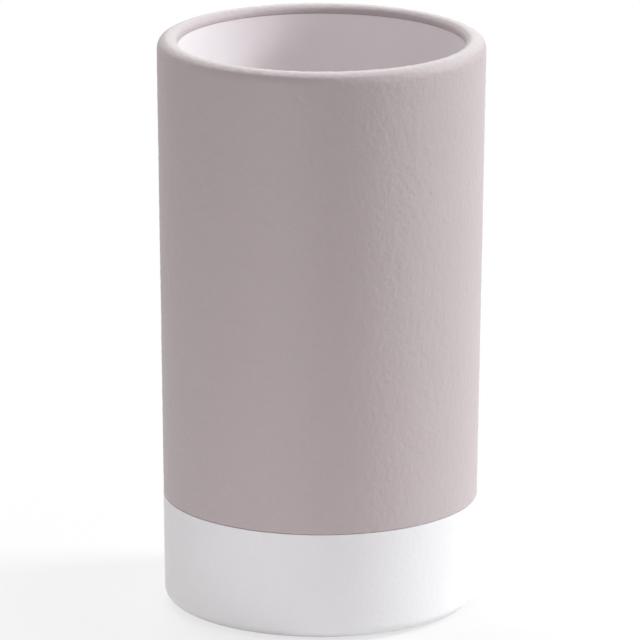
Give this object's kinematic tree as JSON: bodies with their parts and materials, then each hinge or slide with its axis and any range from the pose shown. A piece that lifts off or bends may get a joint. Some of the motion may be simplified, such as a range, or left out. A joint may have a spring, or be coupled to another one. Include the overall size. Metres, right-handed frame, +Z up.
{
  "type": "toothbrush tumbler",
  "caption": "Open round tumbler, slightly tapered, for toothbrushes: white porcelain cup with a taupe soft-touch coat over the rim and outside, down to a white base band.",
  "frame": {"origin": "centre of the base, on the plane of the foot pads' undersides", "axes": "+Z up along the axis of the cup; the cup is round, so +X and +Y are any two level directions, with the foot pads on the diagonals between them"},
  "size_m": [0.065, 0.065, 0.115],
  "materials": {
    "white_porcelain": "white glaze, satin, with a faint orange peel",
    "taupe_soft_touch": "matt, fine grain, soft sheen at a low angle",
    "pad_silicone": "matt, moulded"
  },
  "bodies": {
    "root": {"porcelain_cup": "white_porcelain", "soft_touch_coat": "taupe_soft_touch", "foot_pad_1": "pad_silicone", "foot_pad_2": "pad_silicone", "foot_pad_3": "pad_silicone", "foot_pad_4": "pad_silicone"}
  },
  "joints": []
}
